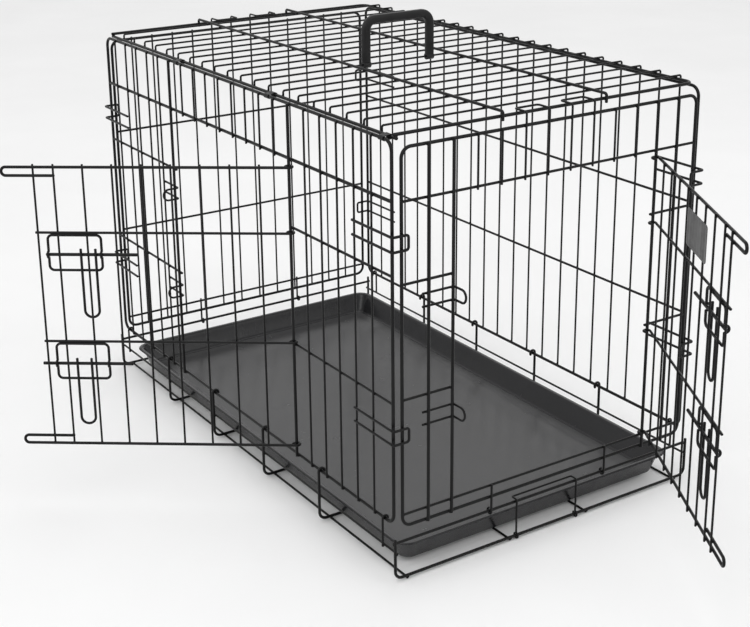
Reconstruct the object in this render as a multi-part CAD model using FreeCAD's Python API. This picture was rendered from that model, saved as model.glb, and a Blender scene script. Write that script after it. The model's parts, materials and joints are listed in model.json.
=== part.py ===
"""Folding wire dog crate: a side door and an end door, a plastic floor tray, a tray stop and a carry handle.

Millimetres. +X runs along the crate to its end door, -Y to its side door, +Z up.
The origin is on the ground, under the middle of the base.
"""

import FreeCAD, Part
import math
import os

V = FreeCAD.Vector

# ---- overall sizes ----
LENGTH = 913.5  # between the two end posts of a side panel, axis to axis
WIDTH = 556.0  # between the side panel and the back panel, axis to axis
SIDE_TOP_Z = 646.0  # axis of the side panel's top rod
SIDE_PIVOT_Z = 87.0  # axis of the side panel's bottom rod, on which it folds
END_TOP_Z = 637.0  # axis of the end panel's top rod, which passes under the top panel
END_PIVOT_Z = 60.0  # axis of the base's upper end rod, on which an end panel folds
HEADER_Z = 563.5  # crossbar over both doorways
MID_Z = 459.0  # upper crossbar of the panels
LOW_Z = 273.0  # lower crossbar of the panels
END_BOTTOM_Z = 83.0  # lower sill of an end panel
END_SILL_Z = 102.0  # upper sill of an end panel, clear of the door's lowest curl
END_NEAR_BARS_Z = (447.0, 278.0)  # short crossbars beside the end doorway, latch side
END_FAR_BARS_Z = (465.0, 287.0)  # the same on the hinge side, clear of the door's curls
BACK_BARS_Z = (465.0, 283.0)
REAR_BARS_Z = (468.0, 279.0)

# ---- wires: radii ----
ROD_R = 2.5  # frame rods of every panel
POST_R = 2.4  # posts beside the doorways
WIRE_R = 1.6  # plain upright and cross wires
BAR_R = 2.0  # crossbars, hooks and bolt guides
DOOR_ROD_R = 2.25
BASE_R = 2.25
LONG_R = 1.75  # wires under the base, and its side rods
KEEPER_R = 1.75
CURL_R = 1.75  # hinge curls of the end panels
BOLT_R = 2.5
LOOP_R = 2.0  # the bolts' handles
STOP_R = 1.5
WELD = 0.1  # how deep two welded wires sink into each other where they cross
LIGHT_WELD = 0.05  # the same where one of the two is a short end
SEAM = 0.02  # the same where they run side by side
PAST = 0.5  # how far an upright passes the rods it is welded to
SHORT_PAST = 3.0  # how far an upright passes a crossbar that it ends at

# ---- wires: bend radii, at the wire's axis ----
CORNER = 15.0  # frame rods at a panel's corners
BASE_BEND = 12.0  # the base's cross wires where they leave the floor
HOOK_BEND = 4.0
TIGHT_BEND = 3.0
GUIDE_BEND = 7.0
ROUND_SHORT = 0.1  # how much less than half its width a wire's round end bends

# ---- clearances ----
TURN_GAP = 0.35  # round a rod that something turns on
SWEEP_GAP = 1.6  # between the end of a side panel and the end panel
HOOK_GAP = 0.6  # between a hook and the rod it passes over
END_INSET = 10.5  # from a long panel's frame in to an end panel's outer rods
TRAY_GAP = 0.2  # under the tray

# ---- wire counts and door places, in wire pitches ----
SIDE_PITCHES = 21
END_PITCHES = 13
SIDE_HINGE_AT = 6  # counted from the crate's front corner
SIDE_LATCH_AT = 15
END_LATCH_AT = 2  # counted from the side door's side
END_HINGE_AT = 11
DOOR_LAST_WIRE = 8.69  # last upright of a door, in pitches from its hinge
DOOR_LAST_BAR_GAP = 2.0  # how far a door's crossbars pass its last upright

# ---- doors ----
DOOR_TOP_Z = 553.0
DOOR_BOTTOM_Z = 107.0
DOOR_MID_Z = 452.0
DOOR_LOW_Z = 278.0
HANDLE_REACH = 32.5  # how far a door's finger loop passes the latch post
HANDLE_RISE = 13.0  # between the two rods of the finger loop
SIDE_OPEN = 54.0  # degrees open at rest
END_OPEN = 61.0
UPPER_BOLT_Z = 418.0
LOWER_BOLT_Z = 242.0
BOLT_LENGTH = 137.0
BOLT_TIP_SHORT = 25.5  # from a drawn bolt's tip to the latch post
BOLT_PROUD = 1.0  # how far the bolt's axis stands out of the door's rods
LOWER_BOLT_OUT = 18.0  # how far the side door's lower bolt stands out at rest
GUIDE_FAR = 28.5  # from the guide's outer side to the latch post
GUIDE_WIDTH = 80.0
GUIDE_DROP = 25.0  # from the bolt down to the guide's lower wire
HANDLE_HALF = 11.0  # half the width of a bolt's handle
HANDLE_DROP = 98.0
HANDLE_TIP = 10.0  # how far its legs pass the bolt
HANDLE_AT = 64.0  # from the bolt's tip to the handle's middle
HANDLE_OFF = 0.3  # from the bolt to the handle in front of it

# ---- keepers and hooks ----
KEEPER_HALF = 9.5  # half the height of a bolt keeper
KEEPER_OUT = 14.0  # from the latch post's axis out to its round end
KEEPER_TAIL = 5.0  # how far its legs pass the wire behind the latch post
HOOK_PAIRS = ((518.0, 497.0), (237.0, 216.0))
HOOK_IN = 8.0  # how far a hook's end passes the rod it holds
TOP_HOOKS_AT = ((5, 6), (7, 8))  # end panel wires that end in a hook over the top panel
TOP_HOOK_REACH = 26.0

# ---- base, tray and stop ----
CROSS_AT = (2, 6)  # cross wires between the end ones, in wire pitches from the middle
LINK_AT = 10  # corner links of the base, in wire pitches from the middle
LONG_WIRE_Y = 75.0  # the inner pair of wires under the base, from the middle
LONG_WIRE_IN = 16.0  # how far the outer pair lies inside the long panels' planes
BASE_BAR_Z = 45.0  # side rods of the base
END_LEG_PAST = 8.0  # how far the base's end wires pass its upper end rods
TRAY_END_GAP = 0.75  # from the tray's rim to the ends of the long panels
TRAY_SIDE_GAP = 14.0  # from its rim to the long panels' planes
TRAY_HEIGHT = 37.0
TRAY_SLOPE = 12.0  # how far its foot stands in from its rim
TRAY_WALL = 2.2
TRAY_RIM = 6.0
TRAY_CORNER = 26.0
STOP_Y = (-64.0, 52.0)
STOP_CLEAR = 1.2  # between the stop's hook and the rod it closes over
STOP_REACH = 12.0
CURL_Y = (-112.0, 108.0)  # hinge curls of the end panels
CURL_TURN = 250.0  # degrees they wind round the base's end rod
BASE_CURL_TURN = 215.0  # degrees the base's cross wires wind round a side rod
LINK_TURN = 230.0
STOP_TURN = 300.0
DOOR_CURL_TURN = 270.0

# ---- top panel and carry handle ----
STIFFENER_Y = 94.0
TOP_RAISE = 6.1  # from the side panel's top rod up to the top panel's rods
NEAR_IN = 10.2  # how far inside the side panel's top rod the near rod lies, to swing past the posts
FAR_IN = 6.0  # how far inside the back panel's top rod the far rod lies
TOP_SHORTER = 5.75  # how far the top panel's end rods lie inside the side panel's ends
TOP_LIP_OUT = 2.2  # from the outer face of the back panel's frame to the turned-down wire ends
TOP_LIP = 6.6  # how far the cross wires turn down past the back panel
TOP_TUCK = 10.0  # how far they turn down inside the near rod
STIFFENER_DROP = 12.8  # how far the stiffeners turn down past the end rods
CLIP_BAYS = (0.5, 7.5, 14.5)  # in wire pitches from the front corner
CLIP_WIDTH = 12.0
CLIP_SHEET = 0.8
CLIP_GAP = 0.35
CARRY_WIRE = 9  # the cross wire that the carry handle hangs on
CARRY_HALF = 61.0
CARRY_HEIGHT = 78.0
CARRY_THICK = 12.0
CARRY_DEEP = 15.0
CARRY_CORNER = 22.0
CARRY_FOOT = 3.0  # how far its feet pass under the cross wire
PLATE_START = 175.0  # from the end door's hinge
PLATE_WIDTH = 90.0
PLATE_LOW_Z = 478.0
PLATE_HEIGHT = 54.0
PLATE_SHEET = 1.0

# ---- worked out from the sizes above ----
HALF_L = LENGTH / 2
HALF_W = WIDTH / 2
PITCH = LENGTH / SIDE_PITCHES
END_X = HALF_L + ROD_R + SWEEP_GAP + ROD_R  # plane of an end panel's frame
END_HALF = HALF_W - END_INSET  # outer posts of an end panel
END_PITCH = 2 * END_HALF / END_PITCHES
SIDE_WELD = HALF_W + ROD_R  # outer face of the side panel's frame
END_WELD = END_X + ROD_R
LONG_Z = LONG_R
CROSS_Z = 2 * LONG_R + BASE_R - WELD
LEG_Y = HALF_W + ROD_R + TURN_GAP + BASE_R
LEG_X = END_X + 2 * BASE_R - WELD
TOP_Z = SIDE_TOP_Z + TOP_RAISE
NEAR_RAISE = TOP_RAISE - 2 * ROD_R + WELD  # the near rod is welded under the top panel's end rods
TRAY_HALF_X = HALF_L - TRAY_END_GAP
TRAY_HALF_Y = HALF_W - TRAY_SIDE_GAP
CROSS_WIRE_Z = TOP_Z + ROD_R + WIRE_R - WELD


# ---- wire building ----
def straight(a, b, r):
    run = b - a
    return Part.makeCylinder(r, run.Length, a, run)


def bend_solid(start, centre, axis, angle, r):
    """A bent length of wire: a disc of radius r at start, turned about an axis through centre."""
    tangent = axis.cross(start - centre)
    disc = Part.Face(Part.Wire(Part.makeCircle(r, start, tangent)))
    return disc.revolve(centre, axis, angle)


def wire(points, r, *bends):
    """A wire along points, as its straight runs and, at each corner, a bend.

    bends gives one bend radius for all the corners, or one for each.
    """
    solids = []
    here = points[0]
    radii = bends if len(bends) > 1 else bends * (len(points) - 2)
    for before, corner, after, bend in zip(points, points[1:], points[2:], radii):
        into = (corner - before).normalize()
        out = (after - corner).normalize()
        turn = into.getAngle(out)
        back = bend * math.tan(turn / 2)
        start = corner - into * back
        axis = into.cross(out).normalize()
        centre = start + axis.cross(into) * bend
        if (start - here).Length > 1e-6:
            solids.append(straight(here, start, r))
        solids.append(bend_solid(start, centre, axis, math.degrees(turn), r))
        here = corner + out * back
    solids.append(straight(here, points[-1], r))
    return solids


def ring_wire(points, r, bend):
    """A closed wire round points: wire() from the middle of its last side back to there."""
    middle = (points[-1] + points[0]) * 0.5
    return wire([middle] + list(points) + [middle], r, bend)


class Frame:
    """A flat frame of reference: a along a panel, n out of the crate, z up."""

    def __init__(self, origin, along, out):
        self.origin, self.along, self.out = origin, along, out

    def at(self, a, n, z):
        return self.origin + self.along * a + self.out * n + V(0, 0, z)


SIDE = Frame(V(0, -SIDE_WELD, 0), V(1, 0, 0), V(0, -1, 0))
BACK = Frame(V(0, SIDE_WELD, 0), V(1, 0, 0), V(0, 1, 0))
END = Frame(V(END_WELD, 0, 0), V(0, 1, 0), V(1, 0, 0))
REAR = Frame(V(-END_WELD, 0, 0), V(0, 1, 0), V(-1, 0, 0))
# In each panel n = 0 is the outer face of its frame rods.
OUTER = WIRE_R - WELD  # plane of the wires, welded on the outside of the rods
POST_N = POST_R - WELD  # plane of the posts
HOOK_N = OUTER + WIRE_R + BAR_R - WELD  # plane of the corner hooks, outside the wires


def side_a(wire_number):
    """Place along the crate of a side panel's wire, counted from the front corner."""
    return HALF_L - PITCH * wire_number


def end_a(wire_number):
    """Place across the crate of an end panel's wire, counted from the side door's side."""
    return -END_HALF + END_PITCH * wire_number


def door_frame(panel, hinge_a, closed, open_degrees):
    """Frame of a door: a from its hinge, n out of it, turned from closed to its rest pose.

    closed is +1 or -1, the way the closed door runs along its panel.
    """
    turn = math.radians(open_degrees)
    along = panel.along * (closed * math.cos(turn)) + panel.out * math.sin(turn)
    out = panel.out * math.cos(turn) - panel.along * (closed * math.sin(turn))
    return Frame(panel.at(hinge_a, POST_N, 0), along, out)


SIDE_DOOR = door_frame(SIDE, side_a(SIDE_HINGE_AT), -1, SIDE_OPEN)
END_DOOR = door_frame(END, end_a(END_HINGE_AT), -1, END_OPEN)

nodes = {}


def node(name, solids):
    nodes[name] = solids if isinstance(solids, list) else [solids]


# ---- parts that panels share ----
def perimeter(frame, half, low, high, r=ROD_R):
    corners = [(-half, low), (half, low), (half, high), (-half, high)]
    return ring_wire([frame.at(a, -r, z) for a, z in corners], r, CORNER)


def uprights(frame, places, n, low, high, r=WIRE_R):
    return [straight(frame.at(a, n, low), frame.at(a, n, high), r) for a in places]


def crossbars(frame, low_a, high_a, heights, r=BAR_R):
    """Rods across a panel, each with its outer face in the plane of the frame's outer face."""
    return [straight(frame.at(low_a, -r, z), frame.at(high_a, -r, z), r) for z in heights]


def corner_hooks(frame):
    """Hairpins past a panel's ends, each turned in over the outer post of an end panel."""
    solids = []
    wrap = END_X + ROD_R + HOOK_GAP + BAR_R
    inward = SIDE_WELD - END_HALF + HOOK_IN
    for way in (1, -1):
        start = way * side_a(2)
        for high, low in HOOK_PAIRS:
            path = [
                frame.at(start, HOOK_N, high),
                frame.at(way * wrap, HOOK_N, high),
                frame.at(way * wrap, -inward, high),
                frame.at(way * wrap, -inward, low),
                frame.at(way * wrap, HOOK_N, low),
                frame.at(start, HOOK_N, low),
            ]
            solids += wire(path, BAR_R, HOOK_BEND)
    return solids


def bolt_keepers(frame, latch_a, outward_a, post_n):
    """Hairpins behind a latch post whose closed end turns out to take a bolt.

    outward_a is the way from the latch post to the doorway.
    """
    solids = []
    back_n = post_n - POST_R - KEEPER_R + WELD
    ring_a = latch_a + outward_a * (POST_R + TURN_GAP + KEEPER_R)
    tail_a = latch_a - outward_a * (PITCH + KEEPER_TAIL)
    for z in (UPPER_BOLT_Z, LOWER_BOLT_Z):
        high, low = z + KEEPER_HALF, z - KEEPER_HALF
        reach = post_n + KEEPER_OUT + KEEPER_HALF
        path = [
            frame.at(tail_a, back_n, high),
            frame.at(ring_a, back_n, high),
            frame.at(ring_a, reach, high),
            frame.at(ring_a, reach, low),
            frame.at(ring_a, back_n, low),
            frame.at(tail_a, back_n, low),
        ]
        round_end = KEEPER_HALF - ROUND_SHORT
        solids += wire(path, KEEPER_R, TIGHT_BEND, round_end, round_end, TIGHT_BEND)
    return solids


def top_hooks(frame):
    """Two end-panel wires joined above the panel and turned in over the top panel's end rod."""
    solids = []
    start = END_TOP_Z + ROD_R
    over = TOP_Z + ROD_R + HOOK_GAP + WIRE_R
    for first, last in TOP_HOOKS_AT:
        a, b = end_a(first), end_a(last)
        path = [
            frame.at(a, OUTER, start),
            frame.at(a, OUTER, over),
            frame.at(a, OUTER - TOP_HOOK_REACH, over),
            frame.at(b, OUTER - TOP_HOOK_REACH, over),
            frame.at(b, OUTER, over),
            frame.at(b, OUTER, start),
        ]
        solids += wire(path, WIRE_R, HOOK_BEND)
    return solids


def hinge_curls(frame):
    """Short wires from the sills of an end panel down and round the base's end rod."""
    solids = []
    ring = BASE_R + TURN_GAP + CURL_R
    axis = frame.along * (1 if frame.out.x > 0 else -1)
    for a in CURL_Y:
        centre = frame.at(a, -ROD_R, END_PIVOT_Z)
        start = frame.at(a, -ROD_R + ring, END_PIVOT_Z)
        solids.append(straight(frame.at(a, -ROD_R + ring, END_SILL_Z + ROD_R), start, CURL_R))
        solids.append(bend_solid(start, centre, axis, CURL_TURN, CURL_R))
    return solids


# ---- base ----
def cross_wire(x, curled):
    """A cross wire of the base: along the floor, up both sides and, if curled, over the side rods."""
    top = SIDE_PIVOT_Z if curled else END_PIVOT_Z + END_LEG_PAST
    points = [V(x, -LEG_Y, top), V(x, -LEG_Y, CROSS_Z), V(x, LEG_Y, CROSS_Z), V(x, LEG_Y, top)]
    solids = wire(points, BASE_R, BASE_BEND)
    if curled:
        for way in (-1, 1):
            rod = V(x, way * HALF_W, SIDE_PIVOT_Z)
            solids.append(bend_solid(V(x, way * LEG_Y, top), rod, V(way, 0, 0), BASE_CURL_TURN, BASE_R))
    return solids


def build_base():
    ends = cross_wire(LEG_X, False) + cross_wire(-LEG_X, False)
    middle = []
    for pitches in CROSS_AT:
        middle += cross_wire(pitches * PITCH, True) + cross_wire(-pitches * PITCH, True)
    node("base_end_wires", ends)
    node("base_cross_wires", middle)
    node(
        "base_long_wires",
        [
            straight(V(-LEG_X, way * y, LONG_Z), V(LEG_X, way * y, LONG_Z), LONG_R)
            for y in (LONG_WIRE_Y, HALF_W - LONG_WIRE_IN)
            for way in (-1, 1)
        ],
    )
    for name, way in (("base_front_rod", 1), ("base_rear_rod", -1)):
        node(name, straight(V(way * END_X, -LEG_Y, END_PIVOT_Z), V(way * END_X, LEG_Y, END_PIVOT_Z), BASE_R))
    bar_y = LEG_Y - BASE_R - LONG_R + WELD
    node(
        "base_side_rods",
        [
            straight(V(-LEG_X, way * bar_y, BASE_BAR_Z), V(LEG_X, way * bar_y, BASE_BAR_Z), LONG_R)
            for way in (-1, 1)
        ],
    )
    links = []
    ring = ROD_R + TURN_GAP + LONG_R
    for x in (-LINK_AT * PITCH, LINK_AT * PITCH):
        for way in (-1, 1):
            top = V(x, way * (HALF_W + ring), SIDE_PIVOT_Z)
            links.append(straight(V(x, top.y, BASE_BAR_Z - LONG_R), top, LONG_R))
            links.append(bend_solid(top, V(x, way * HALF_W, SIDE_PIVOT_Z), V(way, 0, 0), LINK_TURN, LONG_R))
    node("base_corner_links", links)


# ---- tray and its stop ----
def rounded_rectangle(half_x, half_y, corner, z):
    points = [V(half_x, half_y, z), V(-half_x, half_y, z), V(-half_x, -half_y, z), V(half_x, -half_y, z)]
    edges = []
    for i, p in enumerate(points):
        before = (points[i - 1] - p).normalize()
        after = (points[(i + 1) % 4] - p).normalize()
        start, end = p + before * corner, p + after * corner
        centre = p + before * corner + after * corner
        middle = centre + (p - centre).normalize() * corner
        edges.append(Part.Arc(start, middle, end).toShape())
        far = points[(i + 1) % 4] - after * corner
        edges.append(Part.LineSegment(end, far).toShape())
    return Part.Wire(edges)


def tapered(half_x, half_y, corner, low, high, slope):
    foot = rounded_rectangle(half_x - slope, half_y - slope, corner - slope, low)
    head = rounded_rectangle(half_x, half_y, corner, high)
    return Part.makeLoft([foot, head], True, True)


def build_tray():
    low = CROSS_Z + BASE_R + TRAY_GAP
    high = low + TRAY_HEIGHT
    body_x, body_y = TRAY_HALF_X - TRAY_RIM, TRAY_HALF_Y - TRAY_RIM
    corner = TRAY_CORNER - TRAY_RIM
    outer = tapered(body_x, body_y, corner, low, high, TRAY_SLOPE)
    rim_plate = Part.Face(rounded_rectangle(TRAY_HALF_X, TRAY_HALF_Y, TRAY_CORNER, high - TRAY_WALL))
    rim = rim_plate.extrude(V(0, 0, TRAY_WALL))
    slope = TRAY_SLOPE * (TRAY_HEIGHT - TRAY_WALL) / TRAY_HEIGHT
    inner = tapered(body_x - TRAY_WALL, body_y - TRAY_WALL, corner - TRAY_WALL, low + TRAY_WALL, high, slope)
    mouth_edge = rounded_rectangle(body_x - TRAY_WALL, body_y - TRAY_WALL, corner - TRAY_WALL, high)
    mouth = Part.Face(mouth_edge).extrude(V(0, 0, 2 * PAST)).translated(V(0, 0, -PAST))
    pan = outer.fuse(rim).cut(inner).cut(mouth).removeSplitter()
    node("tray", pan.Solids[0])


def build_tray_stop():
    """A wire loop hinged on the base's front floor wire, hooked back over the base's front rod."""
    ring = BASE_R + TURN_GAP + STOP_R
    hook_z = END_PIVOT_Z + BASE_R + STOP_CLEAR + STOP_R
    low, high = STOP_Y
    points = [
        V(LEG_X, low, CROSS_Z + ring),
        V(LEG_X, low, hook_z),
        V(LEG_X - STOP_REACH, low, hook_z),
        V(LEG_X - STOP_REACH, high, hook_z),
        V(LEG_X, high, hook_z),
        V(LEG_X, high, CROSS_Z + ring),
    ]
    solids = wire(points, STOP_R, TIGHT_BEND)
    for y in STOP_Y:
        start = V(LEG_X, y, CROSS_Z + ring)
        solids.append(bend_solid(start, V(LEG_X, y, CROSS_Z), V(0, 1, 0), STOP_TURN, STOP_R))
    node("tray_stop", solids)


# ---- side panel, with its doorway, and back panel ----
def build_side_panel():
    reach = HALF_L - ROD_R
    hinge, latch = side_a(SIDE_HINGE_AT), side_a(SIDE_LATCH_AT)
    low, high = SIDE_PIVOT_Z - PAST, SIDE_TOP_Z + PAST
    node("side_panel_frame", perimeter(SIDE, HALF_L, SIDE_PIVOT_Z, SIDE_TOP_Z))
    bars = crossbars(SIDE, -reach, reach, [HEADER_Z], ROD_R)
    bars += crossbars(SIDE, hinge - POST_R, reach, [MID_Z, LOW_Z])
    bars += crossbars(SIDE, -reach, latch + POST_R, [MID_Z, LOW_Z])
    node("side_panel_crossbars", bars)
    beside = [side_a(i) for i in range(1, SIDE_PITCHES) if not SIDE_HINGE_AT <= i <= SIDE_LATCH_AT]
    over = [side_a(i) for i in range(SIDE_HINGE_AT + 1, SIDE_LATCH_AT)]
    node("side_panel_wires", uprights(SIDE, beside, OUTER, low, high))
    node("side_panel_short_wires", uprights(SIDE, over, OUTER, HEADER_Z - SHORT_PAST, high))
    node("side_panel_posts", uprights(SIDE, [hinge, latch], POST_N, low, high, POST_R))
    node("side_panel_bolt_keepers", bolt_keepers(SIDE, latch, 1, POST_N))
    node("side_panel_corner_hooks", corner_hooks(SIDE))


def build_back_panel():
    reach = HALF_L - ROD_R
    places = [side_a(i) for i in range(1, SIDE_PITCHES)]
    node("back_panel_frame", perimeter(BACK, HALF_L, SIDE_PIVOT_Z, SIDE_TOP_Z))
    node("back_panel_crossbars", crossbars(BACK, -reach, reach, BACK_BARS_Z))
    node("back_panel_wires", uprights(BACK, places, OUTER, SIDE_PIVOT_Z - PAST, SIDE_TOP_Z + PAST))
    node("back_panel_corner_hooks", corner_hooks(BACK))


# ---- end panel, with its doorway, and rear panel ----
def build_end_panel():
    low, high = END_BOTTOM_Z - PAST, END_TOP_Z + ROD_R
    posts = [end_a(i) for i in (1, END_LATCH_AT, END_HINGE_AT, END_PITCHES - 1)]
    over = [end_a(i) for i in range(END_LATCH_AT + 1, END_HINGE_AT)]
    reach = END_HALF - ROD_R
    node("end_panel_frame", perimeter(END, END_HALF, END_BOTTOM_Z, END_TOP_Z))
    bars = crossbars(END, -reach, reach, [END_SILL_Z, HEADER_Z])
    bars += crossbars(END, -reach, end_a(END_LATCH_AT) + POST_R, END_NEAR_BARS_Z)
    bars += crossbars(END, end_a(END_HINGE_AT) - POST_R, reach, END_FAR_BARS_Z)
    node("end_panel_crossbars", bars)
    node("end_panel_posts", uprights(END, posts, POST_N, low, high, POST_R))
    node("end_panel_short_wires", uprights(END, over, OUTER, HEADER_Z - SHORT_PAST, high))
    node("end_panel_bolt_keepers", bolt_keepers(END, end_a(END_LATCH_AT), 1, POST_N))
    node("end_panel_hinge_curls", hinge_curls(END))
    node("end_panel_top_hooks", top_hooks(END))


def build_rear_panel():
    places = [end_a(i) for i in range(1, END_PITCHES)]
    reach = END_HALF - ROD_R
    node("rear_panel_frame", perimeter(REAR, END_HALF, END_BOTTOM_Z, END_TOP_Z))
    node("rear_panel_crossbars", crossbars(REAR, -reach, reach, (END_SILL_Z,) + REAR_BARS_Z))
    node("rear_panel_wires", uprights(REAR, places, OUTER, END_BOTTOM_Z - PAST, END_TOP_Z + ROD_R))
    node("rear_panel_hinge_curls", hinge_curls(REAR))
    node("rear_panel_top_hooks", top_hooks(REAR))


# ---- doors and their bolts ----
def door_rods(door, latch_a, ring):
    """Top and bottom rods: each curls round the hinge post and ends in a finger loop."""
    solids = []
    tip = latch_a + HANDLE_REACH
    back = latch_a - PITCH - DOOR_LAST_BAR_GAP
    for z, other in ((DOOR_TOP_Z, DOOR_TOP_Z - HANDLE_RISE), (DOOR_BOTTOM_Z, DOOR_BOTTOM_Z + HANDLE_RISE)):
        post = door.at(0, 0, z)
        start = door.at(0, ring, z)
        solids.append(bend_solid(start, post, door.along.cross(door.out), DOOR_CURL_TURN, DOOR_ROD_R))
        points = [start, door.at(tip, ring, z), door.at(tip, ring, other), door.at(back, ring, other)]
        solids += wire(points, DOOR_ROD_R, HANDLE_RISE / 2 - ROUND_SHORT)
    return solids


def guide(door, rod_n, latch_a, bolt_z):
    """A closed wire loop that hangs from a crossbar and bows out round the bolt on both sides."""
    ring = BOLT_R + TURN_GAP + LOOP_R
    half_gap = math.sqrt(ring**2 - BOLT_PROUD**2)
    near = latch_a - GUIDE_FAR
    far = near - GUIDE_WIDTH
    bar_z = DOOR_MID_Z if bolt_z == UPPER_BOLT_Z else DOOR_LOW_Z
    top = bar_z - BAR_R - LOOP_R + SEAM
    low = bolt_z - GUIDE_DROP
    solids = []
    for z, other in ((top, bolt_z + half_gap), (low, bolt_z - half_gap)):
        points = [
            door.at(near, rod_n, other),
            door.at(near, rod_n, z),
            door.at(far, rod_n, z),
            door.at(far, rod_n, other),
        ]
        solids += wire(points, LOOP_R, GUIDE_BEND)
    for a in (near, far):
        start = door.at(a, rod_n, bolt_z + half_gap)
        centre = door.at(a, rod_n + BOLT_PROUD, bolt_z)
        sweep = 2 * math.degrees(math.acos(-BOLT_PROUD / ring))
        way = door.along * (1 if (door.along.cross(start - centre)).dot(door.out) > 0 else -1)
        solids.append(bend_solid(start, centre, way, sweep, LOOP_R))
    return solids


def build_door(name, door, latch_a, pitch):
    ring = POST_R + TURN_GAP + DOOR_ROD_R
    wire_n = ring - DOOR_ROD_R - WIRE_R + WELD
    last = DOOR_LAST_WIRE * pitch
    places = [i * pitch for i in range(1, math.ceil(DOOR_LAST_WIRE))] + [last]
    node(name + "_rods", door_rods(door, latch_a, ring))
    bars = []
    for z in (DOOR_MID_Z, DOOR_LOW_Z):
        start = door.at(0, ring, z)
        post = door.at(0, 0, z)
        bars.append(bend_solid(start, post, door.along.cross(door.out), DOOR_CURL_TURN, BAR_R))
        bars.append(straight(start, door.at(last + DOOR_LAST_BAR_GAP, ring, z), BAR_R))
    node(name + "_crossbars", bars)
    low, high = DOOR_BOTTOM_Z - SHORT_PAST, DOOR_TOP_Z + SHORT_PAST
    node(name + "_wires", uprights(door, places, wire_n, low, high))
    guides = []
    for z in (UPPER_BOLT_Z, LOWER_BOLT_Z):
        guides += guide(door, ring, latch_a, z)
    node(name + "_bolt_guides", guides)


def build_bolt(name, door, latch_a, bolt_z, out):
    """A bolt and its hanging handle, out millimetres beyond its drawn place."""
    n = POST_R + TURN_GAP + DOOR_ROD_R + BOLT_PROUD
    tip = latch_a - BOLT_TIP_SHORT + out
    node(name, straight(door.at(tip - BOLT_LENGTH, n, bolt_z), door.at(tip, n, bolt_z), BOLT_R))
    middle = tip - HANDLE_AT
    front = n + BOLT_R + HANDLE_OFF + LOOP_R
    low = bolt_z - HANDLE_DROP
    points = [
        door.at(middle - HANDLE_HALF, front, bolt_z + HANDLE_TIP),
        door.at(middle - HANDLE_HALF, front, low),
        door.at(middle + HANDLE_HALF, front, low),
        door.at(middle + HANDLE_HALF, front, bolt_z + HANDLE_TIP),
    ]
    node(name + "_handle", wire(points, LOOP_R, HANDLE_HALF - ROUND_SHORT))


def build_doors():
    side_latch = (SIDE_LATCH_AT - SIDE_HINGE_AT) * PITCH
    end_latch = (END_HINGE_AT - END_LATCH_AT) * END_PITCH
    build_door("side_door", SIDE_DOOR, side_latch, PITCH)
    build_door("end_door", END_DOOR, end_latch, END_PITCH)
    build_bolt("side_door_upper_bolt", SIDE_DOOR, side_latch, UPPER_BOLT_Z, 0.0)
    build_bolt("side_door_lower_bolt", SIDE_DOOR, side_latch, LOWER_BOLT_Z, LOWER_BOLT_OUT)
    build_bolt("end_door_upper_bolt", END_DOOR, end_latch, UPPER_BOLT_Z, 0.0)
    build_bolt("end_door_lower_bolt", END_DOOR, end_latch, LOWER_BOLT_Z, 0.0)


def build_plate():
    """A blank plate on the inside of the end door's uprights."""
    n = POST_R + TURN_GAP - 2 * WIRE_R + WELD
    corner = END_DOOR.at(PLATE_START, n + SEAM, PLATE_LOW_Z)
    wide = END_DOOR.along * PLATE_WIDTH
    up = V(0, 0, PLATE_HEIGHT)
    face = Part.Face(Part.makePolygon([corner, corner + wide, corner + wide + up, corner + up, corner]))
    node("end_door_plate", face.extrude(END_DOOR.out * -PLATE_SHEET))


# ---- top panel and carry handle ----
def clip(x):
    """A strip bent round the side panel's top rod and the top panel's near rod."""
    low = V(x, -HALF_W, SIDE_TOP_Z)
    high = V(x, -HALF_W + NEAR_IN, SIDE_TOP_Z + NEAR_RAISE)
    run = (high - low).normalize()
    across = V(1, 0, 0).cross(run)

    def slot(r):
        edges = [
            Part.LineSegment(low + across * r, high + across * r).toShape(),
            Part.Arc(high + across * r, high + run * r, high - across * r).toShape(),
            Part.LineSegment(high - across * r, low - across * r).toShape(),
            Part.Arc(low - across * r, low - run * r, low + across * r).toShape(),
        ]
        return Part.Face(Part.Wire(edges)).extrude(V(CLIP_WIDTH, 0, 0))

    hole = ROD_R + CLIP_GAP
    return slot(hole + CLIP_SHEET).cut(slot(hole)).translated(V(-CLIP_WIDTH / 2, 0, 0))


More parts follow.
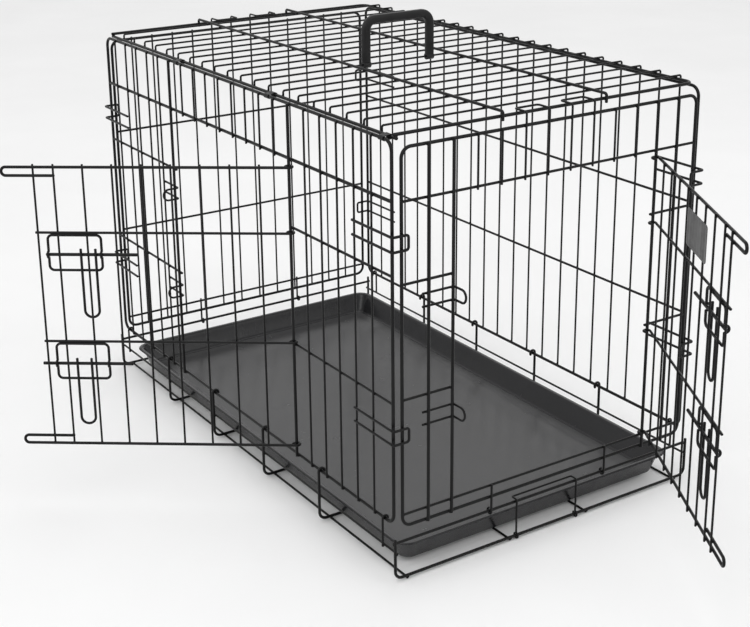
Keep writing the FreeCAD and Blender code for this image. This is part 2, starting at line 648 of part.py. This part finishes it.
def build_top_panel():
    half_x = HALF_L - TOP_SHORTER
    near_y = -HALF_W + NEAR_IN
    far_y = HALF_W - FAR_IN
    near_z = SIDE_TOP_Z + NEAR_RAISE
    bent = [
        V(half_x, near_y - ROD_R, TOP_Z),
        V(half_x, far_y, TOP_Z),
        V(-half_x, far_y, TOP_Z),
        V(-half_x, near_y - ROD_R, TOP_Z),
    ]
    node("top_panel_frame", wire(bent, ROD_R, CORNER))
    near_end = half_x + ROD_R
    node("top_panel_near_rod", straight(V(-near_end, near_y, near_z), V(near_end, near_y, near_z), ROD_R))
    tuck_y = near_y + ROD_R + WIRE_R - LIGHT_WELD
    lip_y = SIDE_WELD + TOP_LIP_OUT
    wires = []
    for i in range(1, SIDE_PITCHES):
        x = side_a(i)
        points = [
            V(x, tuck_y, CROSS_WIRE_Z - TOP_TUCK),
            V(x, tuck_y, CROSS_WIRE_Z),
            V(x, lip_y, CROSS_WIRE_Z),
            V(x, lip_y, CROSS_WIRE_Z - TOP_LIP),
        ]
        wires += wire(points, WIRE_R, TIGHT_BEND)
    node("top_panel_cross_wires", wires)
    z = CROSS_WIRE_Z + WIRE_R + DOOR_ROD_R - WELD
    end_x = half_x + ROD_R + DOOR_ROD_R - WELD
    stiffeners = []
    for y in (-STIFFENER_Y, STIFFENER_Y):
        points = [
            V(-end_x, y, z - STIFFENER_DROP),
            V(-end_x, y, z),
            V(end_x, y, z),
            V(end_x, y, z - STIFFENER_DROP),
        ]
        stiffeners += wire(points, DOOR_ROD_R, HOOK_BEND)
    node("top_panel_stiffeners", stiffeners)
    node("top_panel_clips", [clip(side_a(bay)) for bay in CLIP_BAYS])


def build_carry_handle():
    """A C of plastic whose two feet are bored for the cross wire that it hangs on."""
    x = side_a(CARRY_WIRE)
    z = CROSS_WIRE_Z
    outer_half = CARRY_HALF + CARRY_DEEP / 2
    inner_half = CARRY_HALF - CARRY_DEEP / 2
    top = z + CARRY_HEIGHT
    foot = z - WIRE_R - CARRY_FOOT

    def arch(half, high, corner):
        a, b = V(x, -half, foot), V(x, half, foot)
        left = V(x, -half, high - corner)
        right = V(x, half, high - corner)
        slant = corner * (1 - math.sqrt(0.5))
        edges = [
            Part.LineSegment(a, left).toShape(),
            Part.Arc(left, V(x, -half + slant, high - slant), V(x, -half + corner, high)).toShape(),
            Part.LineSegment(V(x, -half + corner, high), V(x, half - corner, high)).toShape(),
            Part.Arc(V(x, half - corner, high), V(x, half - slant, high - slant), right).toShape(),
            Part.LineSegment(right, b).toShape(),
            Part.LineSegment(b, a).toShape(),
        ]
        return Part.Face(Part.Wire(edges)).extrude(V(CARRY_THICK, 0, 0)).translated(V(-CARRY_THICK / 2, 0, 0))

    outside = arch(outer_half, top, CARRY_CORNER)
    inside = arch(inner_half, top - CARRY_DEEP, CARRY_CORNER - CARRY_DEEP / 2)
    bore = Part.makeCylinder(WIRE_R + TURN_GAP, 4 * CARRY_HALF, V(x, -2 * CARRY_HALF, z), V(0, 1, 0))
    node("carry_handle", outside.cut(inside).cut(bore).Solids[0])


def main():
    build_base()
    build_tray()
    build_tray_stop()
    build_side_panel()
    build_back_panel()
    build_end_panel()
    build_rear_panel()
    build_doors()
    build_plate()
    build_top_panel()
    build_carry_handle()
    os.makedirs("parts", exist_ok=True)
    for name, solids in nodes.items():
        shape = solids[0] if len(solids) == 1 else Part.makeCompound(solids)
        shape.exportStep("parts/" + name + ".step")


main()
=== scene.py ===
"""Looks of a folding wire dog crate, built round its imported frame. Metres throughout."""
import json
import math

import bmesh
import bpy
import numpy as np
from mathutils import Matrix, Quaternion, Vector
from mathutils.kdtree import KDTree


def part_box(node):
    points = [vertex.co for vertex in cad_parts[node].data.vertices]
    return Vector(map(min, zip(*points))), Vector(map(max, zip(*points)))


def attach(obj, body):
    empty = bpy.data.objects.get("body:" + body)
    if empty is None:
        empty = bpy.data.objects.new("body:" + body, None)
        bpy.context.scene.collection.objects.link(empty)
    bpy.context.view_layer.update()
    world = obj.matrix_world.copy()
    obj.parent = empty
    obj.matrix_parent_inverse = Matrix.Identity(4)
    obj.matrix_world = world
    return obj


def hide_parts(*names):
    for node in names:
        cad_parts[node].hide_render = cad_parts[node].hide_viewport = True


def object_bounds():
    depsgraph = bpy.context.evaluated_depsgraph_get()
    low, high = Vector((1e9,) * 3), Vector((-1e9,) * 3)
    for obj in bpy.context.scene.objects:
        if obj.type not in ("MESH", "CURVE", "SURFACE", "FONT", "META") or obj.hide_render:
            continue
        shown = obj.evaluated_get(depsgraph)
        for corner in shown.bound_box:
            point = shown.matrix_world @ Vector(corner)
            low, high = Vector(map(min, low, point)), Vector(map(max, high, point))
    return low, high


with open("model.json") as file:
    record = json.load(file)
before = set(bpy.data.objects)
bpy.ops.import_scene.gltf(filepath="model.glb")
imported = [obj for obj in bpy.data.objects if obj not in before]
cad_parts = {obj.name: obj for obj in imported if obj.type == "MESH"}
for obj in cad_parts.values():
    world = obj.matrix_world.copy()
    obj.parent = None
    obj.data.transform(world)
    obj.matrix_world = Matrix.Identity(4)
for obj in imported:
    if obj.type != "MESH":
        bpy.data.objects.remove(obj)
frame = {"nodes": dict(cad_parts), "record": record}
CAD_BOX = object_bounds()
NODES = frame["nodes"]
BODIES = frame["record"]["behaviour"]["bodies"]
SPRUNG = frame["record"]["physics"]["no_collision_nodes"]  # hooks that spring aside

# ---- camera: place, direction, lens and shifts are all fitted values ----
CAMERA_AT = Vector((1.9608, -1.2924, 1.1158))
CAMERA_AZIMUTH = 56.75  # degrees; 0 looks along +Y, 90 along -X
CAMERA_ELEVATION = 17.78
CAMERA_ROLL = -0.58
SENSOR = 36.0
LENS = 69.3
SHIFT_X = 0.0013
SHIFT_Y = -0.12
CLIP_END = 50

# ---- studio ----
FLOOR_SIZE = 60
WORLD_STRENGTH = 0.93
LIGHTS = (  # name, place, target, size, power
    ("key", (1.4, -2.6, 3.2), (0, 0, 0.3), 2.2, 26),
    ("fill", (3.0, 1.2, 2.2), (0, 0, 0.3), 1.6, 10),
    ("top", (-0.6, 0.6, 3.6), (0, 0, 0), 2.0, 12),
)

# ---- tray ----
TRAY_WALL = 0.0022
TRAY_FOOT_IN = 0.018  # how far the foot stands in from the rim's edge
TRAY_RIM = 0.006  # width of the rolled rim
TRAY_CORNER = 0.026
TRAY_CORNER_TAPER = 0.55  # how much of the inset a corner radius loses
TRAY_CORNER_LEAST = 0.008
TRAY_CORNER_STEPS = 12

# ---- carry handle ----
HANDLE_WIRE_R = 0.0016  # the wire it turns on
HANDLE_BORE_GAP = 0.00035
HANDLE_AXIS_UP = 0.0046  # from the lowest point of a foot up to the wire's axis
HANDLE_LEG_UP = 0.004  # from the wire's axis up to where the sweep starts
HANDLE_DEEP = 0.0146
HANDLE_THICK = 0.0118
HANDLE_BEND = 0.0165
HANDLE_LEG_STEPS = 8
HANDLE_BEND_STEPS = 12
HANDLE_GRIP_STEPS = 32
HANDLE_SIDES = 24
HANDLE_SQUARE = 0.55  # power that turns a round section into a squarer one
GRIP_RIDGE = 0.0010
GRIP_PERIOD = 0.0155
BOSS_R = 0.0056
BOSS_EDGE = 0.0008
BOSS_SIDES = 32

# ---- plate ----
PLATE_CORNER = 0.005
PLATE_CORNER_LEAST = 0.0012

# ---- welds and wire ends ----
ROUND_ENOUGH = 0.97  # smallest point distance of a straight solid, in radii
LONG_ENOUGH = 0.8  # its smallest half length, in radii
ALONGSIDE = 0.5  # cosine from which two wires run side by side and don't cross
BEAD_SPREAD = 1.3  # a weld bead's reach along each wire, in radii of the other one
BEAD_DEPTH = 0.62  # its depth across the two wires, in radii of the thinner one
WELD_DEPTH = 0.00015  # how deep two wires that are welded sink into each other at most
SAME_PLACE = 0.00004  # two points closer than this are one point of two solids that meet
TIP_FIT = 0.995  # a rounded tip's radius, in radii of its wire
TIP_DEPTH = 0.5  # its height, in its own radii
TIP_TURNS, TIP_ROWS = 16, 4
BEAD_TURNS, BEAD_ROWS = 10, 5


# ---- materials ----
class Nodes:
    """Short calls for one material's nodes."""

    def __init__(self, name):
        self.material = bpy.data.materials.new(name)
        self.material.use_nodes = True
        self.tree = self.material.node_tree
        self.shader = self.tree.nodes["Principled BSDF"]
        self.place = self.add("ShaderNodeTexCoord").outputs["Object"]

    def add(self, kind, **inputs):
        made = self.tree.nodes.new(kind)
        for key, value in inputs.items():
            made.inputs[key.replace("_", " ")].default_value = value
        return made

    def link(self, a, b):
        self.tree.links.new(a, b)

    def noise(self, scale, detail=4.0, rough=0.55, stretch=None):
        made = self.add("ShaderNodeTexNoise", Scale=scale, Detail=detail, Roughness=rough)
        source = self.place
        if stretch:
            mapping = self.add("ShaderNodeMapping", Scale=stretch)
            self.link(source, mapping.inputs["Vector"])
            source = mapping.outputs["Vector"]
        self.link(source, made.inputs["Vector"])
        return made.outputs["Fac"]

    def ramp(self, source, stops):
        made = self.add("ShaderNodeValToRGB")
        made.color_ramp.elements[0].position = stops[0][0]
        made.color_ramp.elements[1].position = stops[-1][0]
        for _ in stops[1:-1]:
            made.color_ramp.elements.new(0.5)
        for element, (place, colour) in zip(made.color_ramp.elements, stops):
            element.position = place
            element.color = colour if isinstance(colour, tuple) else (colour, colour, colour, 1)
        self.link(source, made.inputs["Fac"])
        return made.outputs["Color"]

    def total(self, a, b):
        """The two colours added."""
        made = self.add("ShaderNodeMix")
        made.data_type = "RGBA"
        made.blend_type = "ADD"
        made.inputs["Factor"].default_value = 1.0
        self.link(a, made.inputs[6])
        self.link(b, made.inputs[7])
        return made.outputs[2]

    def bump(self, source, strength, distance, before=None):
        made = self.add("ShaderNodeBump", Strength=strength, Distance=distance)
        self.link(source, made.inputs["Height"])
        if before:
            self.link(before, made.inputs["Normal"])
        return made.outputs["Normal"]

    def set(self, **values):
        for key, value in values.items():
            self.shader.inputs[key.replace("_", " ")].default_value = value


def grey(level, blue=1.0):
    """A grey colour, its blue part scaled."""
    return (level, level, level * blue, 1)


def enamel(name, dark, light, rough_low, rough_high):
    """Black stoving enamel on metal: orange peel, thin and dusty patches, and a soft coat."""
    m = Nodes(name)
    patches = m.noise(9.0, 5.0)
    dust = m.noise(130.0, 6.0, 0.7)
    m.link(m.ramp(patches, [(0.35, grey(dark)), (0.62, grey(light, 1.06))]), m.shader.inputs["Base Color"])
    m.link(m.ramp(dust, [(0.3, rough_low), (0.75, rough_high)]), m.shader.inputs["Roughness"])
    peel = m.bump(m.noise(900.0, 2.0), 0.25, 0.0002)
    m.link(m.bump(m.noise(160.0, 3.0), 0.2, 0.0003, peel), m.shader.inputs["Normal"])
    m.set(IOR=1.5, Specular_IOR_Level=0.16, Coat_Weight=0.05, Coat_Roughness=0.12)
    return m.material


def plate_metal():
    """Dark sheet steel with soft upright streaks of painted reflection in its colour."""
    m = Nodes("plate_metal")
    # Painted reflection: upright bands, paler and darker, stand in for satin reflections on the steel's own
    # dark grey.
    painted_reflection_streaks = m.noise(1.0, 5.0, 0.6, (150.0, 150.0, 3.0))
    colour = m.ramp(painted_reflection_streaks, [(0.36, grey(0.045)), (0.5, grey(0.075)), (0.64, grey(0.12))])
    m.link(colour, m.shader.inputs["Base Color"])
    m.link(m.ramp(m.noise(60.0, 5.0, 0.7), [(0.3, 0.34), (0.75, 0.5)]), m.shader.inputs["Roughness"])
    m.link(m.bump(m.noise(1.0, 3.0, 0.5, (900.0, 900.0, 30.0)), 0.2, 0.0001), m.shader.inputs["Normal"])
    m.set(Metallic=0.35, Specular_IOR_Level=0.4)
    return m.material


def tray_plastic():
    """Pressed black plastic sheet: fine leather grain, faint flow marks, and upward-facing faces painted
    paler as a sheen.
    """
    m = Nodes("tray_plastic")
    cloud = m.noise(3.0, 5.0, 0.6)
    scuff = m.noise(14.0, 8.0, 0.75, (1.0, 6.0, 1.0))
    colour = m.ramp(cloud, [(0.3, grey(0.006, 1.1)), (0.55, grey(0.010, 1.12)), (0.8, grey(0.015, 1.1))])
    # Painted sheen: faces whose true normal points up get a paler colour added, so the level floor looks
    # lit against darker walls.
    level = m.add("ShaderNodeSeparateXYZ")
    m.link(m.add("ShaderNodeNewGeometry").outputs["True Normal"], level.inputs["Vector"])
    scuffed = m.total(colour, m.ramp(scuff, [(0.6, 0.0), (0.8, 0.010)]))
    with_painted_sheen = m.total(scuffed, m.ramp(level.outputs["Z"], [(0.93, 0.0), (0.985, 0.04)]))
    m.link(with_painted_sheen, m.shader.inputs["Base Color"])
    m.link(m.ramp(m.noise(22.0, 6.0, 0.7), [(0.3, 0.16), (0.75, 0.30)]), m.shader.inputs["Roughness"])
    grain = m.add("ShaderNodeTexVoronoi", Scale=520.0)
    m.link(m.place, grain.inputs["Vector"])
    fine = m.bump(grain.outputs["Distance"], 0.10, 0.0002)
    m.link(m.bump(m.noise(4.0, 3.0), 0.30, 0.004, fine), m.shader.inputs["Normal"])
    m.set(IOR=1.5, Specular_IOR_Level=0.34)
    return m.material


def handle_plastic():
    """Injection-moulded black plastic: a tight spark-eroded grain, rubbed smoother in places."""
    m = Nodes("handle_plastic")
    colour = m.ramp(m.noise(30.0, 4.0), [(0.35, grey(0.004)), (0.7, grey(0.008, 1.05))])
    m.link(colour, m.shader.inputs["Base Color"])
    m.link(m.ramp(m.noise(60.0, 5.0, 0.7), [(0.3, 0.30), (0.75, 0.46)]), m.shader.inputs["Roughness"])
    grain = m.add("ShaderNodeTexVoronoi", Scale=1500.0)
    m.link(m.place, grain.inputs["Vector"])
    m.link(m.bump(grain.outputs["Distance"], 0.3, 0.0002), m.shader.inputs["Normal"])
    m.set(IOR=1.49, Specular_IOR_Level=0.3)
    return m.material


def backdrop():
    """The pale matt floor that everything stands on."""
    m = Nodes("backdrop")
    m.link(m.ramp(m.noise(2.0, 3.0), [(0.3, grey(0.86)), (0.7, grey(0.89))]), m.shader.inputs["Base Color"])
    m.set(Roughness=0.9, Specular_IOR_Level=0.1)
    return m.material


MATERIALS = {
    "black_wire": enamel("black_wire", dark=0.0025, light=0.006, rough_low=0.26, rough_high=0.42),
    "plate_metal": plate_metal(),
    "tray_plastic": tray_plastic(),
    "handle_plastic": handle_plastic(),
}


def dress(obj, slot):
    """Give a piece the material of its slot."""
    obj.data.materials.clear()
    obj.data.materials.append(MATERIALS[slot])


def make(name, bm, slot, body, replaced=(), smooth=40.0):
    """A mesh from bm as a finished piece: shaded, given its material and set on its body."""
    bmesh.ops.recalc_face_normals(bm, faces=bm.faces)
    mesh = bpy.data.meshes.new(name)
    bm.to_mesh(mesh)
    bm.free()
    obj = bpy.data.objects.new(name, mesh)
    bpy.context.scene.collection.objects.link(obj)
    mesh.shade_smooth()
    mesh.set_sharp_from_angle(angle=math.radians(smooth))
    dress(obj, slot)
    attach(obj, body)
    if replaced:
        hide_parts(*replaced)
    return obj


def skin(bm, rings):
    """Faces from ring to ring, and one across the first and the last."""
    count = len(rings[0])
    for ring, after in zip(rings, rings[1:]):
        for i in range(count):
            bm.faces.new((ring[i], ring[(i + 1) % count], after[(i + 1) % count], after[i]))
    bm.faces.new(rings[0])
    bm.faces.new(rings[-1])


# ---- tray ----
def rounded_outline(half_x, half_y, corner, z, centre):
    """Points round a rectangle with round corners."""
    points = []
    for quarter, (sx, sy) in enumerate(((1, 1), (-1, 1), (-1, -1), (1, -1))):
        turn = quarter * math.pi / 2
        for i in range(TRAY_CORNER_STEPS + 1):
            a = turn + math.pi / 2 * i / TRAY_CORNER_STEPS
            x = sx * (half_x - corner) + corner * math.cos(a)
            y = sy * (half_y - corner) + corner * math.sin(a)
            points.append(centre + Vector((x, y, z)))
    return points


def build_tray():
    """The pan as one skin: outside wall, rolled rim, inside wall, and a floor with a raised border."""
    lo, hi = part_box("tray")
    centre = Vector(((lo.x + hi.x) / 2, (lo.y + hi.y) / 2, 0))
    half_x, half_y = (hi.x - lo.x) / 2, (hi.y - lo.y) / 2
    low, high = lo.z, hi.z
    foot_in, rim = TRAY_FOOT_IN, TRAY_RIM
    # inset from the rim's edge, height
    profile = [
        (foot_in + 0.010, low),
        (foot_in + 0.003, low + 0.0006),
        (foot_in, low + 0.003),
        (rim + 0.0030, high - 0.008),
        (rim, high - 0.0048),
        (rim - 0.0012, high - 0.0034),
        (0.0012, high - 0.0032),
        (0.0, high - 0.0022),
        (0.0004, high - 0.0008),
        (0.0018, high),
        (0.0050, high - 0.0002),
        (rim + 0.0010, high - 0.0008),
        (rim + TRAY_WALL + 0.0004, high - 0.0030),
        (rim + TRAY_WALL + 0.0020, high - 0.0075),
        (foot_in + TRAY_WALL + 0.0005, low + 0.0085),
        (foot_in + TRAY_WALL + 0.0025, low + 0.0050),
        (foot_in + TRAY_WALL + 0.0070, low + 0.0034),
        (foot_in + 0.022, low + 0.0031),
        (foot_in + 0.026, low + 0.0023),
    ]
    bm = bmesh.new()
    rings = []
    for inset, z in profile:
        corner = max(TRAY_CORNER - inset * TRAY_CORNER_TAPER, TRAY_CORNER_LEAST)
        outline = rounded_outline(half_x - inset, half_y - inset, corner, z, centre)
        rings.append([bm.verts.new(p) for p in outline])
    skin(bm, rings)
    return make("tray_pan", bm, "tray_plastic", "tray", ("tray",), 50.0)


# ---- carry handle ----
def build_carry_handle():
    """A C of plastic swept from foot to foot, thicker at the grip, on two bosses bored for the wire."""
    lo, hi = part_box("carry_handle")
    x = (lo.x + hi.x) / 2
    mid_y = (lo.y + hi.y) / 2
    wire_z = lo.z + HANDLE_AXIS_UP
    deep, thick, bend = HANDLE_DEEP, HANDLE_THICK, HANDLE_BEND
    half = (hi.y - lo.y) / 2 - deep / 2
    top = hi.z - deep / 2
    leg = top - bend - wire_z - HANDLE_LEG_UP
    path = []  # place across, height, turn of the section
    for i in range(HANDLE_LEG_STEPS + 1):
        path.append((-half, wire_z + HANDLE_LEG_UP + leg * i / HANDLE_LEG_STEPS, 0.0))
    for i in range(1, HANDLE_BEND_STEPS):
        a = math.pi / 2 * i / HANDLE_BEND_STEPS
        path.append((-half + bend * (1 - math.cos(a)), top - bend * (1 - math.sin(a)), a))
    for i in range(HANDLE_GRIP_STEPS + 1):
        path.append((-half + bend + (2 * half - 2 * bend) * i / HANDLE_GRIP_STEPS, top, math.pi / 2))
    for i in range(1, HANDLE_BEND_STEPS):
        a = math.pi / 2 * i / HANDLE_BEND_STEPS
        path.append((half - bend * (1 - math.sin(a)), top - bend * (1 - math.cos(a)), math.pi / 2 + a))
    for i in range(HANDLE_LEG_STEPS + 1):
        path.append((half, top - bend - leg * i / HANDLE_LEG_STEPS, math.pi))
    bm = bmesh.new()
    rings = []
    for y, z, turn in path:
        grip = max(0.0, math.cos(math.pi * y / (2 * half))) if abs(turn - math.pi / 2) < 0.01 else 0.0
        ridge = -GRIP_RIDGE * (0.5 - 0.5 * math.cos(y * 2 * math.pi / GRIP_PERIOD)) * min(1.0, 1.6 * grip)
        inner = deep / 2 - 0.0006 + ridge
        outer = deep / 2
        across = thick / 2 * (0.90 + 0.10 * grip)
        normal = Vector((0, -math.cos(turn), math.sin(turn)))
        ring = []
        for k in range(HANDLE_SIDES):
            a = 2 * math.pi * k / HANDLE_SIDES
            c, s = math.cos(a), math.sin(a)
            u = math.copysign(abs(c) ** HANDLE_SQUARE, c) * across
            v = math.copysign(abs(s) ** HANDLE_SQUARE, s) * (outer if s > 0 else inner)
            ring.append(bm.verts.new(Vector((x + u, mid_y + y, z)) + normal * v))
        rings.append(ring)
    skin(bm, rings)
    bore_r, boss_half = HANDLE_WIRE_R + HANDLE_BORE_GAP, deep / 2 - 0.0002
    # radius, place along the wire
    profile = [
        (bore_r, -boss_half), (BOSS_R - BOSS_EDGE, -boss_half), (BOSS_R, -boss_half + BOSS_EDGE),
        (BOSS_R, boss_half - BOSS_EDGE), (BOSS_R - BOSS_EDGE, boss_half), (bore_r, boss_half),
    ]
    for way in (-1, 1):
        centre = Vector((x, mid_y + way * half, wire_z))
        turns = []
        for k in range(BOSS_SIDES):
            a = 2 * math.pi * k / BOSS_SIDES
            turns.append(
                [bm.verts.new(centre + Vector((r * math.cos(a), y, r * math.sin(a)))) for r, y in profile]
            )
        for k in range(BOSS_SIDES):
            for j in range(len(profile)):
                here, there = turns[k], turns[(k + 1) % BOSS_SIDES]
                after = (j + 1) % len(profile)
                bm.faces.new((here[j], here[after], there[after], there[j]))
    return make("carry_grip", bm, "handle_plastic", "carry_handle", ("carry_handle",), 45.0)


# ---- plate on the end door ----
def build_plate():
    """A blank plate with round corners, its rim pressed back all round."""
    mesh = NODES["end_door_plate"].data
    points = np.array([v.co[:] for v in mesh.vertices])
    centre = points.mean(axis=0)
    wide, high, thick = np.linalg.svd(points - centre)[2]
    spans = [np.abs((points - centre) @ axis).max() for axis in (wide, high, thick)]
    wide, high, thick = (Vector(axis) for axis in (wide, high, thick))
    half_w, half_h, half_t = spans
    bm = bmesh.new()
    # inset from the plate's edge, height over its middle plane
    profile = [
        (0.0064, -half_t + 0.00035), (0.0050, -half_t + 0.00035), (0.0042, -half_t),
        (0.0006, -half_t), (0.0001, -half_t + 0.0003), (0.0, half_t - 0.0004),
        (0.0004, half_t - 0.00005), (0.0040, half_t - 0.00005), (0.0048, half_t - 0.0004),
        (0.0062, half_t - 0.0004),
    ]
    rings = []
    for inset, depth in profile:
        corner = max(PLATE_CORNER - inset, PLATE_CORNER_LEAST)
        outline = rounded_outline(half_w - inset, half_h - inset, corner, 0.0, Vector())
        place = Vector(centre) + thick * depth
        rings.append([bm.verts.new(place + wide * q.x + high * q.y) for q in outline])
    skin(bm, rings)
    return make("plate_blank", bm, "plate_metal", "end_door", ("end_door_plate",), 35.0)


# ---- welds and wire ends ----
class Wire:
    """One solid of a CAD node: its ends, direction and radius, and whether it is straight and round."""

    def __init__(self, points, indices):
        centre = np.unique(points.round(6), axis=0).mean(axis=0)
        self.axis = np.linalg.svd(points - centre, full_matrices=False)[2][0]
        along = (points - centre) @ self.axis
        across = np.linalg.norm(points - centre - np.outer(along, self.axis), axis=1)
        self.radius = across.max()
        self.straight = (
            across.min() > ROUND_ENOUGH * self.radius and along.max() > LONG_ENOUGH * self.radius
        )
        self.low = centre + self.axis * along.min()
        self.high = centre + self.axis * along.max()
        self.rings = [
            [i for i, a in zip(indices, along) if abs(a - edge) < SAME_PLACE]
            for edge in (along.min(), along.max())
        ]


def solids_of(mesh):
    """Lists of point numbers, one for each separate solid in a mesh."""
    parent = list(range(len(mesh.vertices)))

    def root(i):
        while parent[i] != i:
            parent[i] = parent[parent[i]]
            i = parent[i]
        return i

    for edge in mesh.edges:
        a, b = root(edge.vertices[0]), root(edge.vertices[1])
        if a != b:
            parent[a] = b
    groups = {}
    for i in range(len(parent)):
        groups.setdefault(root(i), []).append(i)
    return list(groups.values())


def closest(a, b):
    """Nearest points of the axes of two wires, or None where an end is nearer."""
    u, v, w = a.axis, b.axis, a.low - b.low
    uv = float(u @ v)
    if abs(uv) > ALONGSIDE:
        return None
    s = (uv * float(v @ w) - float(u @ w)) / (1 - uv * uv)
    t = (float(v @ w) - uv * float(u @ w)) / (1 - uv * uv)
    for here, wire, other in ((s, a, b), (t, b, a)):
        if not -other.radius <= here <= np.linalg.norm(wire.high - wire.low) + other.radius:
            return None
    return a.low + u * s, b.low + v * t


def add_blob(bm, centre, axes, sizes, turns=BEAD_TURNS, rows=BEAD_ROWS, dome=False):
    """An ellipsoid, or with dome set only its half towards the third axis."""
    first = 0.0 if dome else -math.pi / 2
    centre = Vector(centre)
    rings = []
    for row in range(rows + 1):
        up = first + (math.pi / 2 - first) * row / rows
        if abs(math.cos(up)) < 1e-6:
            rings.append([bm.verts.new(centre + axes[2] * sizes[2] * math.sin(up))])
            continue
        rings.append(
            [
                bm.verts.new(
                    centre
                    + axes[0] * sizes[0] * math.cos(up) * math.cos(2 * math.pi * k / turns)
                    + axes[1] * sizes[1] * math.cos(up) * math.sin(2 * math.pi * k / turns)
                    + axes[2] * sizes[2] * math.sin(up)
                )
                for k in range(turns)
            ]
        )
    for ring, after in zip(rings, rings[1:]):
        for k in range(turns):
            edge = [ring[k % len(ring)], ring[(k + 1) % len(ring)]]
            next_edge = [after[(k + 1) % len(after)], after[k % len(after)]]
            bm.faces.new(list(dict.fromkeys(edge + next_edge)))  # three corners at a pole
    if dome:
        bm.faces.new(rings[0])


def build_welds():
    """A bead where two wires of a body cross, and a rounded tip on each free wire end."""
    for body, names in BODIES.items():
        if body in ("tray", "carry_handle"):
            continue
        wires, places, owners = [], [], []
        for name in names:
            if name in SPRUNG:
                continue
            mesh = NODES[name].data
            for group in solids_of(mesh):
                points = np.array([mesh.vertices[i].co[:] for i in group])
                first = len(places)
                places.extend(points)
                owners.extend([len(wires)] * len(points))
                wires.append(Wire(points, range(first, first + len(points))))
        tree = KDTree(len(places))
        for i, place in enumerate(places):
            tree.insert(place, i)
        tree.balance()
        bm = bmesh.new()
        for i, wire in enumerate(wires):
            if not wire.straight:
                continue
            for other in wires[i + 1:]:
                if other.straight:
                    add_bead(bm, wire, other)
            for ring, end, way in zip(wire.rings, (wire.low, wire.high), (-1, 1)):
                here = {owners[j] for _, j, _ in tree.find_range(places[ring[0]], SAME_PLACE)}
                if len(here) <= 2:  # only its own side and cap
                    out = Vector(wire.axis * way)
                    side = out.orthogonal().normalized()
                    r = wire.radius * TIP_FIT
                    sizes = (r, r, r * TIP_DEPTH)
                    add_blob(bm, end, (side, out.cross(side), out), sizes, TIP_TURNS, TIP_ROWS, True)
        if len(bm.verts):
            make(body + "_welds", bm, "black_wire", body, (), 60.0)
        else:
            bm.free()


def add_bead(bm, wire, other):
    """A weld bead between two wires, if they cross and touch."""
    near = closest(wire, other)
    if near is None:
        return
    gap = near[1] - near[0]
    distance = float(np.linalg.norm(gap))
    reach = wire.radius + other.radius
    if not reach - WELD_DEPTH < distance < reach:
        return
    out = Vector(gap / distance)
    along = Vector(wire.axis)
    beside = out.cross(along).normalized()
    thin = min(wire.radius, other.radius)
    sizes = (other.radius * BEAD_SPREAD, wire.radius * BEAD_SPREAD, thin * BEAD_DEPTH)
    add_blob(bm, Vector(near[0]) + out * wire.radius, (along, beside, out), sizes)


# ---- staging ----
def build_camera():
    data = bpy.data.cameras.new("camera")
    data.sensor_width = SENSOR
    data.lens = LENS
    data.shift_x = SHIFT_X
    data.shift_y = SHIFT_Y
    data.clip_end = CLIP_END
    camera = bpy.data.objects.new("camera", data)
    bpy.context.scene.collection.objects.link(camera)
    a, e = math.radians(CAMERA_AZIMUTH), math.radians(CAMERA_ELEVATION)
    back = Vector((math.sin(a) * math.cos(e), -math.cos(a) * math.cos(e), math.sin(e)))
    camera.location = CAMERA_AT
    roll = Quaternion((0, 0, 1), math.radians(CAMERA_ROLL))
    camera.rotation_euler = ((-back).to_track_quat("-Z", "Y") @ roll).to_euler()
    bpy.context.scene.camera = camera


def area_light(name, place, target, size, power):
    data = bpy.data.lights.new(name, "AREA")
    data.shape = "DISK"
    data.size = size
    data.energy = power
    light = bpy.data.objects.new(name, data)
    light.location = place
    light.rotation_euler = (Vector(target) - Vector(place)).to_track_quat("-Z", "Y").to_euler()
    bpy.context.scene.collection.objects.link(light)


def build_studio():
    """A pale floor, an even white surround and three soft lights."""
    bpy.ops.mesh.primitive_plane_add(size=FLOOR_SIZE, location=(0, 0, CAD_BOX[0].z))
    floor = bpy.context.object
    floor.name = "floor"
    floor.data.materials.append(backdrop())
    world = bpy.data.worlds.new("studio")
    world.use_nodes = True
    world.node_tree.nodes["Background"].inputs["Color"].default_value = (1, 1, 1, 1)
    world.node_tree.nodes["Background"].inputs["Strength"].default_value = WORLD_STRENGTH
    bpy.context.scene.world = world
    for light in LIGHTS:
        area_light(*light)
    bpy.context.scene.view_settings.view_transform = "Standard"


def dress_frame():
    """Give every CAD piece the material of its slot in the record."""
    slots = {part["node"]: part["material_slot"] for part in frame["record"]["subparts"]}
    for name, obj in NODES.items():
        dress(obj, slots[name])


build_camera()
build_studio()
dress_frame()
build_tray()
build_carry_handle()
build_plate()
build_welds()
